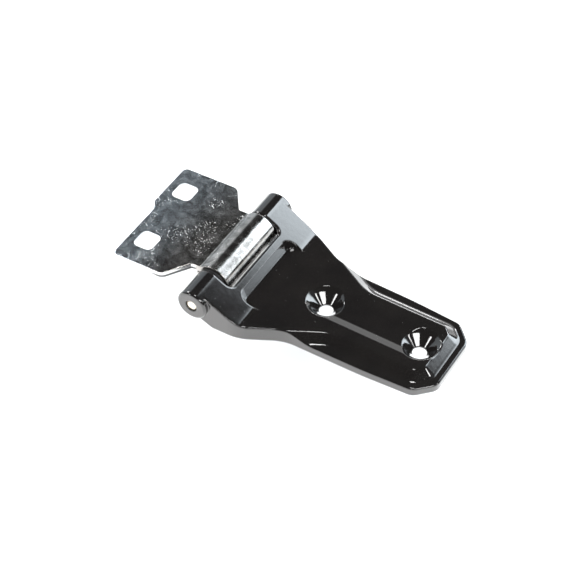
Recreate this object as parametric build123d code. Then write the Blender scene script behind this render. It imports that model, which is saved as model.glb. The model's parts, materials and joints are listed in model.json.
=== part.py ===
"""Offset strap hinge: a cast strap leaf and a rolled sheet leaf on one pin.

Frame: millimetres, +Z up.  The origin is the centre of the two-screw pattern on the flat back of
the strap leaf.  X runs from the hinge pin towards the strap's tip, and Y lies along the pin.
"""

import os
from math import cos, radians, sin, sqrt, tan

from build123d import *

# ---- driving dimensions --------------------------------------------------------------------------
# hinge line
pin_x = -48.0
pin_z = 8.0
pin_r = 2.0
hinge_width = 50.0
barrel_r = 5.05
barrel_end_round = 0.8
notch_half = 14.0
notch_back_x = -41.2
notch_corner = 2.0
notch_edge_round = 0.8
pin_recess = 0.3
pin_chamfer = 0.55

# strap leaf
plateau_z = 5.1
flange_z = 2.8
head_half = 23.7
shoulder_x, shoulder_half = -33.1, 22.95
neck_x, neck_half = -20.9, 16.4
waist_x, waist_half = 5.0, 16.0
tip_half = 15.0
tip_x = 27.1
tip_corner = 5.5
flare_round = 15.0
side_round = 150.0
tip_round = 4.0
base_start_x = -43.0
ramp_angle = 30.0
ramp_foot_round = 7.0
edge_round = 0.6

# raised plateau on the strap
crest_half = 9.75
crest_tip_x = 21.6
crest_corner = 2.4
crest_flare_gap = 0.25
slope_run = 3.0
crest_round = 15.0
crest_tip_round = 1.5
crest_edge_round = 0.8
crest_foot_round = 2.0

# pocket behind the bridge
pocket_x = -37.3
pocket_half = 13.7
pocket_round = 2.6
pocket_draft = 20.0

# screw holes and the shallow channel that joins them
screw_spacing = 32.0
screw_hole_r = 2.15
sink_rim_r = 6.3
land_bottom_z, land_top_z = 0.7, 1.2
sink_seat_r = 5.0
sink_seat_depth = 1.0
channel_half = 6.0
channel_depth = 0.7
channel_run = 2.7
back_chamfer = 0.7
rim_round = 0.4

# sheet leaf
sheet_t = 2.3
eye_r = 5.8
eye_half = 13.3
plate_top = 4.3
plate_half = 21.3
plate_far = 30.8
jog = 1.9
jog_y0, jog_y1 = 1.0, 3.8
neck_start = 5.6
square_hole, square_hole_across = 6.8, 7.0
square_round = 1.9
hole_spacing = 23.6
hole_edge = 6.3
shoulder_in, shoulder_out = 7.2, 12.9
droop = 2.75
eye_gap = 0.4
sheet_edge_round = 0.25
crease_round = 1.0
shoulder_round = 3.0
far_round = 1.8

# bushes in the rolled eye
bush_bore_r = pin_r + 0.05
bush_length = 12.6
flange_r = 4.6
flange_t = 0.6

# ---- derived -------------------------------------------------------------------------------------
eye_bore_r = eye_r - sheet_t
barrel_end_y = hinge_width / 2
far_above = 40.0
PIN_AXIS = Axis((pin_x, 0, pin_z), (0, 1, 0))


def along_y(radius, y0, y1):
    """A solid cylinder on the pin's axis, from y0 to y1."""
    plane = Plane(origin=(pin_x, y0, pin_z), x_dir=(1, 0, 0), z_dir=(0, 1, 0))
    return extrude(plane * Circle(radius), y1 - y0)


def plan_face(half_points, radii, z):
    """A face symmetric about the X axis, from its corners on the +Y side, at height z."""
    points = half_points + [(x, -y) for x, y in reversed(half_points)]
    outline = FilletPolyline(points, radius=radii + radii[::-1], close=True)
    return Pos(0, 0, z) * make_face(outline)


def side_face(points, y=0.0):
    """A face in the XZ plane from its corners, facing +Y."""
    corners = [(x, y, z) for x, z in points]
    return make_face(Polyline(*corners, close=True))


# ---- strap leaf ----------------------------------------------------------------------------------
def strap_outline(z):
    points = [
        (pin_x - 15, head_half),
        (shoulder_x, shoulder_half),
        (neck_x, neck_half),
        (waist_x, waist_half),
        (tip_x - tip_corner, tip_half),
        (tip_x, tip_half - tip_corner),
    ]
    radii = [1.0, flare_round, flare_round, side_round, tip_round, tip_round]
    return plan_face(points, radii, z)


def crest_outline(z, grow=0.0):
    """Edge of the raised plateau, with its slopes' foot at grow = slope_run."""
    flare_slope = (shoulder_half - neck_half) / (neck_x - shoulder_x)
    flare_length = sqrt(1 + flare_slope**2)
    half = crest_half + grow
    gap = (crest_flare_gap + grow) * flare_length
    flare_end_x = shoulder_x + (shoulder_half + gap - half) / flare_slope
    corner = crest_corner + grow * (2 - sqrt(2))
    points = [
        (pin_x - 15, shoulder_half + gap + flare_slope * (shoulder_x - pin_x + 15)),
        (flare_end_x, half),
        (crest_tip_x + grow - corner, half),
        (crest_tip_x + grow, half - corner),
    ]
    radii = [1.0, crest_round - grow, crest_tip_round + grow, crest_tip_round + grow]
    return plan_face(points, radii, z)


def side_profile():
    """Section of the leaf across the pin: back, plateau, ramp and the round barrel."""
    tangent_x = pin_x + barrel_r * sin(radians(ramp_angle))
    tangent_z = pin_z + barrel_r * cos(radians(ramp_angle))
    ramp_foot_x = tangent_x + (tangent_z - plateau_z) / tan(radians(ramp_angle))
    block = side_face(
        [
            (base_start_x, 0),
            (tip_x + 5, 0),
            (tip_x + 5, plateau_z),
            (ramp_foot_x, plateau_z),
            (tangent_x, tangent_z),
            (pin_x, pin_z),
            under_tangent(),
        ]
    )
    return block


def under_tangent():
    """Where the line from the start of the back touches the underside of the barrel."""
    dx, dz = base_start_x - pin_x, -pin_z
    reach = sqrt(dx**2 + dz**2)
    along = barrel_r**2 / reach
    across = barrel_r * sqrt(1 - (barrel_r / reach) ** 2)
    ux, uz = dx / reach, dz / reach
    return (pin_x + along * ux + across * uz, pin_z + along * uz - across * ux)


def is_on(wire, edge, tolerance=0.03):
    """True where an edge lies over a plan outline."""
    spots = [edge @ t for t in (0.1, 0.3, 0.5, 0.7, 0.9)]
    return all(wire.distance_to(Vertex(p.X, p.Y, 0)) < tolerance for p in spots)


def strap_blank():
    """Head, flare and plateau at full height, and the lower flange around the strap."""
    reach = head_half + 5
    head = extrude(side_profile(), reach, both=True) + along_y(barrel_r, -reach, reach)
    full = head & extrude(strap_outline(0), far_above)
    slope = loft([crest_outline(flange_z, slope_run).face(), crest_outline(plateau_z).face()], ruled=True)
    above = Pos(pin_x + 8, 0, plateau_z + far_above / 2) * Box(32, 100, far_above)
    ridge = full & (slope + above)
    flange = full & extrude(strap_outline(0), flange_z)
    return ridge + flange


def round_blank(blank):
    """Cast radii: the ramp's foot, the plateau's edge and foot, and the outline's upper edge."""
    foot_lines = blank.edges().filter_by(Axis.Y).filter_by_position(Axis.Z, plateau_z, plateau_z)
    ramp_foot = [e for e in foot_lines if e.center().X < shoulder_x + 2]
    blank = fillet(ramp_foot, ramp_foot_round)
    crest = crest_outline(0).wires()[0]
    at_plateau = blank.edges().filter_by_position(Axis.Z, plateau_z, plateau_z)
    blank = fillet([e for e in at_plateau if is_on(crest, e)], crest_edge_round)
    outline = strap_outline(0).wires()[0]
    at_flange = blank.edges().filter_by_position(Axis.Z, flange_z, flange_z)
    blank = fillet([e for e in at_flange if not is_on(outline, e)], crest_foot_round)
    upper = [e for e in blank.edges() if is_on(outline, e) and (e @ 0.5).Z > flange_z - 0.1]
    upper = [e for e in upper if abs((e % 0.5).Z) < 0.9 and (e @ 0.5).X > pin_x + 2]
    return fillet(upper, edge_round)


def notch_cutter():
    """The slot between the barrels that the rolled eye turns in."""
    back = pin_x - 10
    block = Pos((back + notch_back_x) / 2, 0, 0) * Box(notch_back_x - back, 2 * notch_half, far_above)
    inner = block.edges().filter_by(Axis.Z).group_by(Axis.X)[-1]
    return fillet(inner, notch_corner)


def is_notch_edge(edge):
    """True for the edges that the notch leaves on the barrels, the ramp and the bridge."""
    middle = edge @ 0.5
    on_side = abs(abs(middle.Y) - notch_half) < 0.02
    on_back = abs(middle.X - notch_back_x) < 0.02
    in_corner = 0 < notch_back_x - middle.X < notch_corner and 0 < notch_half - abs(middle.Y) < notch_corner
    upright = edge.geom_type == GeomType.LINE and abs((edge % 0.5).Z) > 0.95
    return (on_side or on_back or in_corner) and not upright and middle.Z > 0.01


def pocket_outline():
    points = [(shoulder_x + 12, pocket_half), (pocket_x, pocket_half)]
    return plan_face(points, [0, pocket_round], plateau_z)


def channel_outline(half_width, z):
    return Pos(0, 0, z) * SlotCenterToCenter(screw_spacing, 2 * half_width)


def screw_hole_cutter():
    """Dished rim, countersink, short land and back chamfer of one screw hole."""
    spread = (sink_rim_r - sink_seat_r) / sink_seat_depth
    top = plateau_z + 1
    corners = [
        (0, -1),
        (screw_hole_r + back_chamfer + 1, -1),
        (screw_hole_r, land_bottom_z),
        (screw_hole_r, land_top_z),
        (sink_seat_r, plateau_z - sink_seat_depth),
        (sink_rim_r + spread, top),
        (0, top),
    ]
    return revolve(side_face(corners), Axis.Z)


def is_sink_rim(edge):
    """True for the rims of the channel and of the two countersinks."""
    middle = edge @ 0.5
    over_holes = abs(middle.X) < screw_spacing / 2 + sink_rim_r + 0.1 and abs(middle.Y) < sink_rim_r + 0.1
    return over_holes and middle.Z > plateau_z - 0.02


def make_strap():
    """Cast leaf: two barrels, bridge, pocket, raised plateau with its channel, two screw holes."""
    barrels = along_y(barrel_r, -barrel_end_y, barrel_end_y)
    barrels = fillet(barrels.edges().filter_by(GeomType.CIRCLE), barrel_end_round)
    leaf = round_blank(strap_blank()) + barrels
    leaf = leaf - notch_cutter()
    leaf = fillet([e for e in leaf.edges() if is_notch_edge(e)], notch_edge_round)
    leaf = leaf - extrude(pocket_outline(), far_above / 4, taper=-pocket_draft)
    floor_z = plateau_z - channel_depth
    floor = channel_outline(channel_half - channel_run, floor_z)
    leaf = leaf - loft([floor.face(), channel_outline(channel_half, plateau_z).face()], ruled=True)
    for x in (-screw_spacing / 2, screw_spacing / 2):
        leaf = leaf - Pos(x, 0, 0) * screw_hole_cutter()
    leaf = fillet([e for e in leaf.edges() if is_sink_rim(e)], rim_round)
    return leaf - along_y(pin_r, -barrel_end_y - 1, barrel_end_y + 1)


def make_pin():
    """The hinge pin: plain, chamfered at both ends, just short of the barrels' faces."""
    end = barrel_end_y - pin_recess
    pin = along_y(pin_r, -end, end)
    return chamfer(pin.edges().filter_by(GeomType.CIRCLE), pin_chamfer)


# ---- sheet leaf ----------------------------------------------------------------------------------
def plate_outline(z):
    """Plan of the flat part, from the neck round to the neck, with the stepped far edge."""
    near = pin_x - neck_start
    inner, outer = pin_x - shoulder_in, pin_x - shoulder_out
    far = pin_x - plate_far
    points = [
        (near, eye_half),
        (inner, eye_half),
        (outer, plate_half),
        (far - jog, plate_half),
        (far - jog, jog_y1),
        (far, jog_y0),
        (far, -plate_half),
        (outer, -plate_half),
        (inner, -eye_half),
        (near, -eye_half),
    ]
    radii = [0, 1.2, shoulder_round, far_round, 1.5, 1.5, far_round, shoulder_round, 1.2, 0]
    return Pos(0, 0, z) * make_face(FilletPolyline(points, radius=radii, close=True))


def neck_profile():
    """Section of the rolled eye and the start of the flat, with the crease between them."""
    top = plate_top
    under = top - sheet_t
    ring = Circle(eye_r) - Circle(eye_bore_r)
    reach = neck_start + 0.5
    start = Pos(-(reach + 1) / 2, (top + under) / 2) * Rectangle(reach - 1, sheet_t)
    slit = Pos(-eye_r / 2, under - eye_gap / 2) * Rectangle(eye_r, eye_gap)
    section = ring - slit + (start - Circle(eye_r - 0.5))
    crease_x = -sqrt(eye_r**2 - top**2)
    crease = [v for v in section.vertices() if abs(v.X - crease_x) < 0.02 and abs(v.Y - top) < 0.02]
    return fillet(crease, crease_round)


def make_plate():
    """Sheet leaf: the flat, its crease and the rolled eye, drooped by its own small angle."""
    across = Plane(origin=(pin_x, eye_half, pin_z), x_dir=(1, 0, 0), z_dir=(0, -1, 0))
    neck = extrude(across * neck_profile(), 2 * eye_half)
    flat = extrude(plate_outline(pin_z + plate_top - sheet_t), sheet_t)
    leaf = neck + flat
    rims = [e for e in leaf.edges() if is_sheet_edge(e)]
    leaf = fillet(rims, sheet_edge_round)
    near_hole = (pin_x - plate_far + hole_edge, -hole_spacing / 2)
    far_hole = (near_hole[0] - jog, hole_spacing / 2)
    for x, y in (near_hole, far_hole):
        square = RectangleRounded(square_hole, square_hole_across, square_round)
        leaf = leaf - Pos(x, y, 0) * extrude(square, far_above)
    return leaf.rotate(PIN_AXIS, -droop)


def is_sheet_edge(edge):
    """True for the upper and lower rims of the flat part's outline."""
    middle = edge @ 0.5
    level = abs((edge @ 0.2).Z - (edge @ 0.8).Z) < 0.001
    at_face = min(abs(middle.Z - pin_z - plate_top), abs(middle.Z - pin_z - plate_top + sheet_t)) < 0.001
    return level and at_face and middle.X < pin_x - neck_start + 0.1 and abs(middle.Y) > 0.01


# ---- bushes --------------------------------------------------------------------------------------
def make_bush(side):
    """Flanged plain bush in one end of the rolled eye; side is +1 or -1."""
    face = eye_half
    body = along_y(eye_bore_r, side * (face - bush_length), side * face)
    collar = along_y(flange_r, side * face, side * (face + flange_t))
    collar = chamfer(collar.edges().group_by(Axis.Y)[-1 if side > 0 else 0], 0.15)
    return body + collar - along_y(bush_bore_r, -hinge_width, hinge_width)


# ---- write one file for each piece ---------------------------------------------------------------
nodes = {
    "strap_leaf": make_strap(),
    "plate_leaf": make_plate(),
    "hinge_pin": make_pin(),
    "near_bush": make_bush(-1),
    "far_bush": make_bush(1),
}
os.makedirs("parts", exist_ok=True)
for name, solid in nodes.items():
    export_step(solid, f"parts/{name}.step")
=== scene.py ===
"""Offset strap hinge: materials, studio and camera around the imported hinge.

Metres, +Z up.  The frame is the hinge's own: the pin lies along Y, and the strap points along +X.
"""

import json
from math import cos, pi, radians, sin

import bpy
from mathutils import Matrix, Vector


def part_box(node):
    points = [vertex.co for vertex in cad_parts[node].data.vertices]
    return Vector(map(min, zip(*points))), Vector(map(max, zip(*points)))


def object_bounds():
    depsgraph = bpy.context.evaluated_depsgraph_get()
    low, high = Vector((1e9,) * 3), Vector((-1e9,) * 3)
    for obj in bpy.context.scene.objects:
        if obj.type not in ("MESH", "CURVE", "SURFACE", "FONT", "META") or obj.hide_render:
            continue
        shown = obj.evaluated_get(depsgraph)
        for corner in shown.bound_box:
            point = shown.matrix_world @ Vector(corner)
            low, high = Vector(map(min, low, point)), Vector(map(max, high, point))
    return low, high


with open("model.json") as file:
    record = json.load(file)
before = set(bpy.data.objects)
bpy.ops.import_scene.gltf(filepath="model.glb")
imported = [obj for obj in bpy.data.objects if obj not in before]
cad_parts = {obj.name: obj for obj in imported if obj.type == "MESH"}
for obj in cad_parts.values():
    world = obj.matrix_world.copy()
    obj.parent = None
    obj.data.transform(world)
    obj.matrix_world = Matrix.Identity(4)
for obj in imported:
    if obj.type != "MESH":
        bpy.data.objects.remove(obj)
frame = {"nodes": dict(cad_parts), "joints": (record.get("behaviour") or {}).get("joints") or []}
cad_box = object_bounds()
LOW, HIGH = (Vector(corner) for corner in cad_box)
MM = 0.001

PIN = Vector(frame["joints"][0]["pos_m"])
PLATE_LOW, PLATE_HIGH = (Vector(corner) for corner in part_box("plate_leaf"))
DROOP = radians(2.75)
SHEET_UP = Vector((-sin(DROOP), 0, cos(DROOP)))
SHEET_TOP = 4.3 * MM  # above the pin's axis, across the sheet
NECK_X = PIN.x - 6 * MM  # where the flat gives way to the rolled eye


# ---- node helpers --------------------------------------------------------------------------------
class Material:
    """A node material with one Principled shader, and short calls for the nodes around it."""

    def __init__(self, name, **constants):
        self.data = bpy.data.materials.new(name)
        self.data.use_nodes = True
        self.nodes = self.data.node_tree.nodes
        self.links = self.data.node_tree.links
        self.shader = self.nodes["Principled BSDF"]
        self.place = self.nodes.new("ShaderNodeTexCoord").outputs["Object"]
        for socket, value in constants.items():
            self.shader.inputs[socket.replace("_", " ")].default_value = value

    def link(self, source, target):
        self.links.new(source, target)

    def stretched(self, scale, turn=(0, 0, 0)):
        """The object's own coordinates, turned and then scaled."""
        turned = self.nodes.new("ShaderNodeMapping")
        turned.inputs["Rotation"].default_value = [radians(angle) for angle in turn]
        self.link(self.place, turned.inputs["Vector"])
        scaled = self.nodes.new("ShaderNodeMapping")
        scaled.inputs["Scale"].default_value = scale
        self.link(turned.outputs["Vector"], scaled.inputs["Vector"])
        return scaled.outputs["Vector"]

    def noise(self, size, detail=3.0, roughness=0.5, vector=None, distortion=0.0):
        """Noise whose features are about size metres across."""
        node = self.nodes.new("ShaderNodeTexNoise")
        node.inputs["Scale"].default_value = 1 / size
        node.inputs["Detail"].default_value = detail
        node.inputs["Roughness"].default_value = roughness
        node.inputs["Distortion"].default_value = distortion
        self.link(vector or self.place, node.inputs["Vector"])
        return node.outputs["Fac"]

    def ramp(self, value, *stops):
        """Maps value through (position, level or colour) stops."""
        node = self.nodes.new("ShaderNodeValToRGB")
        elements = node.color_ramp.elements
        while len(elements) < len(stops):
            elements.new(0.5)
        for element, (position, level) in zip(elements, stops):
            element.position = position
            colour = level if isinstance(level, tuple) else (level, level, level)
            element.color = (*colour, 1)
        self.link(value, node.inputs["Fac"])
        return node.outputs["Color"]

    def math(self, operation, first, second=0.5):
        node = self.nodes.new("ShaderNodeMath")
        node.operation = operation
        for socket, value in zip(node.inputs, (first, second)):
            if isinstance(value, (int, float)):
                socket.default_value = value
            else:
                self.link(value, socket)
        return node.outputs["Value"]

    def mix(self, factor, first, second):
        """Blends two colours."""
        node = self.nodes.new("ShaderNodeMix")
        node.data_type = "RGBA"
        for socket, value in ((node.inputs[0], factor), (node.inputs[6], first), (node.inputs[7], second)):
            if isinstance(value, tuple):
                socket.default_value = (*value, 1)
            elif isinstance(value, (int, float)):
                socket.default_value = value
            else:
                self.link(value, socket)
        return node.outputs[2]

    def axis(self, name):
        """One of the object's own coordinates, in metres."""
        node = self.nodes.new("ShaderNodeSeparateXYZ")
        self.link(self.place, node.inputs["Vector"])
        return node.outputs[name]

    def along(self, start, direction):
        """Distance in metres from the point start along a direction."""
        offset = self.nodes.new("ShaderNodeVectorMath")
        offset.operation = "SUBTRACT"
        self.link(self.place, offset.inputs[0])
        offset.inputs[1].default_value = start
        dot = self.nodes.new("ShaderNodeVectorMath")
        dot.operation = "DOT_PRODUCT"
        self.link(offset.outputs["Vector"], dot.inputs[0])
        dot.inputs[1].default_value = direction
        return dot.outputs["Value"]

    def span(self, value, low, high):
        """Rises from 0 at low to 1 at high, and stays within 0 and 1."""
        node = self.nodes.new("ShaderNodeMapRange")
        node.interpolation_type = "SMOOTHSTEP"
        node.inputs["From Min"].default_value = low
        node.inputs["From Max"].default_value = high
        self.link(value, node.inputs["Value"])
        return node.outputs["Result"]

    def soft_edges(self, radius):
        """Surface normal with its sharp edges rounded over."""
        node = self.nodes.new("ShaderNodeBevel")
        node.samples = 8
        node.inputs["Radius"].default_value = radius
        return node.outputs["Normal"]

    def bump(self, height, depth, normal=None):
        """Adds relief: height from 0 to 1 stands for depth metres."""
        node = self.nodes.new("ShaderNodeBump")
        node.inputs["Distance"].default_value = depth
        self.link(height, node.inputs["Height"])
        if normal is not None:
            self.link(normal, node.inputs["Normal"])
        return node.outputs["Normal"]

    def set(self, socket, source):
        self.link(source, self.shader.inputs[socket])


def scratches(m, turn, length, width, cover):
    """Fine straight scratches: 1 on a scratch and 0 off it."""
    streaks = m.noise(1.0, 2.0, 0.6, m.stretched((1 / length, 1 / width, 1 / width), turn))
    return m.ramp(streaks, (1 - cover, 0.0), (1 - cover + 0.025, 1.0))


# ---- materials -----------------------------------------------------------------------------------
def black_paint():
    """Gloss black enamel on a casting: faint orange peel, a little dust, uneven gloss, soft edges."""
    m = Material("black_paint", Metallic=0.0, IOR=1.6, Coat_Weight=0.85, Coat_IOR=1.6)
    cloud = m.noise(9 * MM, 3.0)
    m.set("Base Color", m.ramp(cloud, (0.3, (0.0050, 0.0046, 0.0046)), (0.7, (0.0075, 0.0068, 0.0064))))
    speck = m.ramp(m.noise(0.55 * MM, 2.0, 0.6), (0.745, 0.0), (0.775, 1.0))
    gloss = m.ramp(m.noise(4 * MM, 4.0, 0.6), (0.3, 0.05), (0.7, 0.10))
    m.set("Roughness", m.mix(speck, gloss, (0.4, 0.4, 0.4)))
    m.set("Coat Roughness", m.mix(speck, gloss, (0.3, 0.3, 0.3)))
    peel = m.bump(m.noise(1.6 * MM, 2.0, 0.4), 0.008 * MM, m.soft_edges(0.6 * MM))
    relief = m.bump(speck, 0.012 * MM, peel)
    m.set("Normal", relief)
    m.set("Coat Normal", relief)
    return m.data


def zinc_sheet():
    """Zinc-plated sheet: mottle, patches of pinpricks and scratches, painted shade by the eye that
    lightens towards the far side, bright cut edges, and a dark band low on the cut edge by the neck that
    is partly the sheared fracture zone and partly painted shade of the gap between the plies.
    """
    m = Material("zinc_sheet", Metallic=1.0)
    grain = m.noise(0.40 * MM, 5.0, 0.75)
    mottle = m.noise(3.2 * MM, 4.0, 0.55, distortion=0.8)
    cloud = m.noise(11 * MM, 2.0, 0.5)
    tone = m.math("ADD", m.math("MULTIPLY", grain, 0.35), m.math("MULTIPLY", mottle, 0.65))
    near_eye = m.span(m.axis("X"), PLATE_LOW.x + 6 * MM, NECK_X)
    far_side = m.span(m.axis("Y"), -6 * MM, PLATE_HIGH.y)
    plain = m.ramp(
        tone,
        (0.34, (0.40, 0.43, 0.46)),
        (0.50, (0.54, 0.58, 0.62)),
        (0.66, (0.68, 0.73, 0.77)),
    )
    # A darker brownish copy of the zinc tones, used as painted shade.
    shaded_zinc = m.ramp(
        tone,
        (0.36, (0.24, 0.23, 0.215)),
        (0.52, (0.42, 0.405, 0.39)),
        (0.68, (0.64, 0.63, 0.61)),
    )
    # Painted shade: towards the eye, beside the barrels, the sheet takes the darker copy, and less of it
    # towards the far side.
    eye_shade = m.math("MULTIPLY", near_eye, m.math("SUBTRACT", 1.2, m.math("MULTIPLY", far_side, 0.5)))
    body = m.mix(eye_shade, plain, shaded_zinc)
    marks = m.math(
        "MAXIMUM",
        scratches(m, (0, 0, 35), 6 * MM, 0.15 * MM, 0.31),
        scratches(m, (0, 0, -62), 4 * MM, 0.13 * MM, 0.30),
    )
    pricks = m.ramp(m.noise(0.45 * MM, 2.0, 0.7), (0.66, 0.0), (0.70, 1.0))
    worn = m.span(cloud, 0.46, 0.60)
    bright = m.math("MULTIPLY", m.math("MAXIMUM", marks, pricks), worn)
    body = m.mix(m.math("MULTIPLY", bright, 0.8), body, (0.93, 0.95, 0.95))
    below_top = m.along(PIN + SHEET_TOP * SHEET_UP, -SHEET_UP)
    in_flat = m.math("LESS_THAN", m.axis("X"), NECK_X)
    cut = m.math("MULTIPLY", m.span(below_top, 0.20 * MM, 0.35 * MM), in_flat)
    body = m.mix(cut, body, (0.95, 0.96, 0.96))
    # Painted shade: the lower half of the cut edge darkens close to the neck, standing in for the shaded
    # gap between the sheet's plies; the band also marks the rougher sheared fracture zone.
    by_neck = m.span(m.axis("X"), NECK_X - 14 * MM, NECK_X - 8 * MM)
    lower_half = m.math("MULTIPLY", m.span(below_top, 1.15 * MM, 1.35 * MM), in_flat)
    shaded_shear_band = m.math("MULTIPLY", lower_half, by_neck)
    shear_band_shade_colour = m.ramp(grain, (0.35, (0.10, 0.10, 0.10)), (0.65, (0.30, 0.31, 0.31)))
    m.set("Base Color", m.mix(shaded_shear_band, body, shear_band_shade_colour))
    wear = m.math("ADD", tone, m.math("MULTIPLY", bright, 0.5))
    polish = m.ramp(wear, (0.35, 0.12), (0.9, 0.38))
    m.set("Roughness", m.mix(shaded_shear_band, polish, (0.55, 0.55, 0.55)))
    coarse = m.bump(mottle, 0.012 * MM)
    m.set("Normal", m.bump(m.math("ADD", grain, bright), 0.013 * MM, coarse))
    return m.data


def pin_steel():
    """Bright steel pin: turned rings on its ends and fine drawing lines along it."""
    m = Material("pin_steel", Metallic=1.0)
    rings = m.nodes.new("ShaderNodeTexWave")
    rings.wave_type = "RINGS"
    rings.rings_direction = "Y"
    rings.inputs["Scale"].default_value = 1 / (1.2 * MM)
    rings.inputs["Distortion"].default_value = 0.6
    centred = m.nodes.new("ShaderNodeMapping")
    centred.inputs["Location"].default_value = -PIN
    m.link(m.place, centred.inputs["Vector"])
    m.link(centred.outputs["Vector"], rings.inputs["Vector"])
    lines = m.noise(1.0, 3.0, 0.6, m.stretched((1 / (0.1 * MM), 1 / (8 * MM), 1 / (0.1 * MM))))
    m.set("Base Color", m.ramp(lines, (0.3, (0.70, 0.62, 0.50)), (0.7, (0.90, 0.84, 0.74))))
    m.set("Roughness", m.ramp(m.noise(0.3 * MM, 3.0), (0.3, 0.22), (0.7, 0.38)))
    m.set("Normal", m.bump(rings.outputs["Fac"], 0.006 * MM, m.bump(lines, 0.003 * MM)))
    return m.data


def bush_plastic():
    """Matt black nylon bush with a fine moulded grain."""
    m = Material("bush_plastic", Metallic=0.0)
    cloud = m.noise(1.5 * MM)
    m.set("Base Color", m.ramp(cloud, (0.3, (0.010, 0.010, 0.011)), (0.7, (0.020, 0.020, 0.021))))
    m.set("Roughness", m.ramp(m.noise(0.6 * MM), (0.3, 0.45), (0.7, 0.62)))
    m.set("Normal", m.bump(m.noise(0.25 * MM, 4.0), 0.008 * MM))
    return m.data


def paint(material, *names):
    for name in names:
        slots = frame["nodes"][name].data.materials
        slots.clear()
        slots.append(material)


# ---- studio --------------------------------------------------------------------------------------
def quad(name, width, height):
    """A flat rectangle facing +Z."""
    mesh = bpy.data.meshes.new(name)
    corners = [(-1, -1), (1, -1), (1, 1), (-1, 1)]
    mesh.from_pydata([(x * width / 2, y * height / 2, 0) for x, y in corners], [], [(0, 1, 2, 3)])
    piece = bpy.data.objects.new(name, mesh)
    bpy.context.scene.collection.objects.link(piece)
    return piece


def floor():
    """Pale floor, far enough below for the sheet leaf to swing down."""
    piece = quad("floor", 12, 12)
    reach = (Vector((PLATE_LOW.x, 0, PLATE_LOW.z)) - Vector((PIN.x, 0, PIN.z))).length
    piece.location.z = PIN.z - reach - 2 * MM
    m = Material("floor_paper", Roughness=0.9)
    m.set("Base Color", m.ramp(m.noise(0.2, 2.0), (0.3, (0.86, 0.855, 0.85)), (0.7, (0.88, 0.875, 0.87))))
    piece.data.materials.append(m.data)


def panel(name, direction, distance, width, height, radiance, colour=(1, 1, 1), along=None, fade=None):
    """A soft light panel facing the hinge, unseen by the camera.

    Its width runs along the direction `along`.  fade = (start, end, level) dims its lower part: start
    and end are fractions of its height from the middle, and level is what is left of the radiance.
    """
    middle = (LOW + HIGH) / 2
    facing = -Vector(direction).normalized()
    side = Vector(along) if along else Vector((0, 0, 1)).cross(facing)
    side = (side - side.dot(facing) * facing).normalized()
    up = facing.cross(side)
    piece = quad(name, width, height)
    piece.matrix_world = Matrix((
        (side.x, up.x, facing.x, middle.x - facing.x * distance),
        (side.y, up.y, facing.y, middle.y - facing.y * distance),
        (side.z, up.z, facing.z, middle.z - facing.z * distance),
        (0, 0, 0, 1),
    ))
    piece.visible_camera = False
    material = bpy.data.materials.new(name)
    material.use_nodes = True
    nodes, links = material.node_tree.nodes, material.node_tree.links
    nodes.clear()
    glow = nodes.new("ShaderNodeEmission")
    glow.inputs["Color"].default_value = (*colour, 1)
    glow.inputs["Strength"].default_value = radiance
    front = nodes.new("ShaderNodeNewGeometry")
    dark = nodes.new("ShaderNodeEmission")
    dark.inputs["Strength"].default_value = 0.0
    pick = nodes.new("ShaderNodeMixShader")
    out = nodes.new("ShaderNodeOutputMaterial")
    links.new(front.outputs["Backfacing"], pick.inputs["Fac"])
    links.new(glow.outputs[0], pick.inputs[1])
    links.new(dark.outputs[0], pick.inputs[2])
    links.new(pick.outputs[0], out.inputs["Surface"])
    if fade:
        start, end, level = fade
        place = nodes.new("ShaderNodeTexCoord")
        split = nodes.new("ShaderNodeSeparateXYZ")
        curve = nodes.new("ShaderNodeMapRange")
        curve.interpolation_type = "SMOOTHSTEP"
        curve.inputs["From Min"].default_value = start * height
        curve.inputs["From Max"].default_value = end * height
        curve.inputs["To Min"].default_value = radiance * level
        curve.inputs["To Max"].default_value = radiance
        links.new(place.outputs["Object"], split.inputs[0])
        links.new(split.outputs["Y"], curve.inputs["Value"])
        links.new(curve.outputs["Result"], glow.inputs["Strength"])
    piece.data.materials.append(material)
    return piece


def fill_light(strength):
    """Even light from above for the floor, not mirrored in the gloss."""
    lamp = bpy.data.lights.new("fill", "SUN")
    lamp.energy = strength
    lamp.angle = radians(120)
    piece = bpy.data.objects.new("fill", lamp)
    piece.visible_glossy = False
    bpy.context.scene.collection.objects.link(piece)


def sky(base):
    """Dim room around the table."""
    world = bpy.data.worlds.new("room")
    world.use_nodes = True
    world.node_tree.nodes["Background"].inputs["Color"].default_value = (*base, 1)
    bpy.context.scene.world = world


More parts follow.
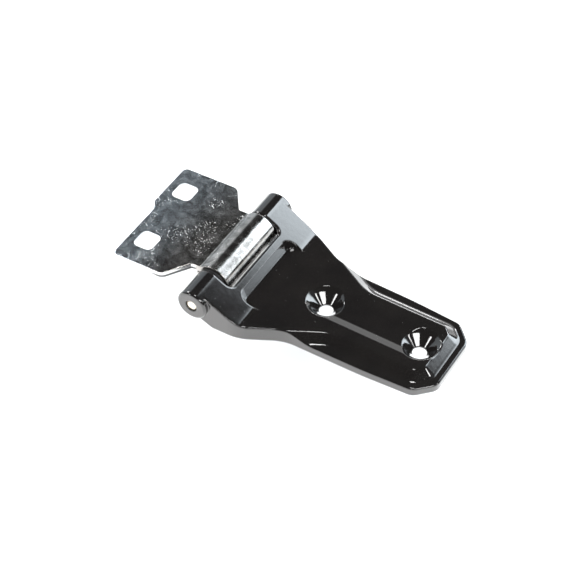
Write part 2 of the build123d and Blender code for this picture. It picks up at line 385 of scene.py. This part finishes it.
def direction(turn, height):
    """A unit vector: turn degrees round from +X, height degrees above the floor."""
    a, e = radians(turn), radians(height)
    return Vector((cos(a) * cos(e), sin(a) * cos(e), sin(e)))


def studio():
    floor()
    sky((0.040, 0.039, 0.038))
    fill_light(5.2)
    cool = (0.86, 0.94, 1.0)
    softbox = Vector((0.514, 0.643, 0.568))
    tilt = (-0.743, 0, 0.670)
    fade = (-0.16, 0.04, 0.02)
    panel("back_softbox", softbox, 0.50, 0.50, 0.44, 6.2, cool, along=tilt, fade=fade)
    panel("right_softbox", direction(-30, 37), 0.60, 0.34, 0.12, 12.0)
    panel("right_strip", direction(13, 31), 0.48, 0.05, 0.13, 12.0)
    panel("front_strip", direction(-127, 30), 0.60, 0.09, 0.12, 12.0)
    panel("front_glint", direction(-66, 25), 0.60, 0.12, 0.05, 12.0)
    panel("rim_left", direction(157, 33), 0.60, 0.10, 0.08, 30.0)
    panel("rim_back", direction(86, 33), 0.60, 0.10, 0.05, 24.0)
    panel("rim_top", direction(0, 88), 0.60, 0.12, 0.12, 14.0)
    panel("back_strip", direction(112, 6), 0.70, 0.24, 0.09, 9.0)
    panel("back_wall", direction(112, 10), 0.72, 1.1, 0.62, 0.85)
    panel("left_wall", direction(165, 14), 0.72, 0.9, 0.75, 0.75, cool)


# ---- camera --------------------------------------------------------------------------------------
def camera():
    """Long lens from the strap's side and above."""
    distance = 522.4 * MM
    view_height, view_turn = 47.663, 31.478
    aim = Vector((-27.0, -3.58, 7.53)) * MM
    data = bpy.data.cameras.new("camera")
    data.lens = 108.455
    data.sensor_width = 36.0
    data.clip_start = 10 * MM
    piece = bpy.data.objects.new("camera", data)
    back = direction(view_turn - 90, view_height)
    piece.location = aim + distance * back
    piece.rotation_euler = (pi / 2 - radians(view_height), 0, radians(view_turn))
    bpy.context.scene.collection.objects.link(piece)
    bpy.context.scene.camera = piece


paint(black_paint(), "strap_leaf")
paint(zinc_sheet(), "plate_leaf")
paint(pin_steel(), "hinge_pin")
paint(bush_plastic(), "near_bush", "far_bush")
studio()
camera()

scene = bpy.context.scene
scene.view_settings.view_transform = "Standard"
scene.view_settings.look = "None"
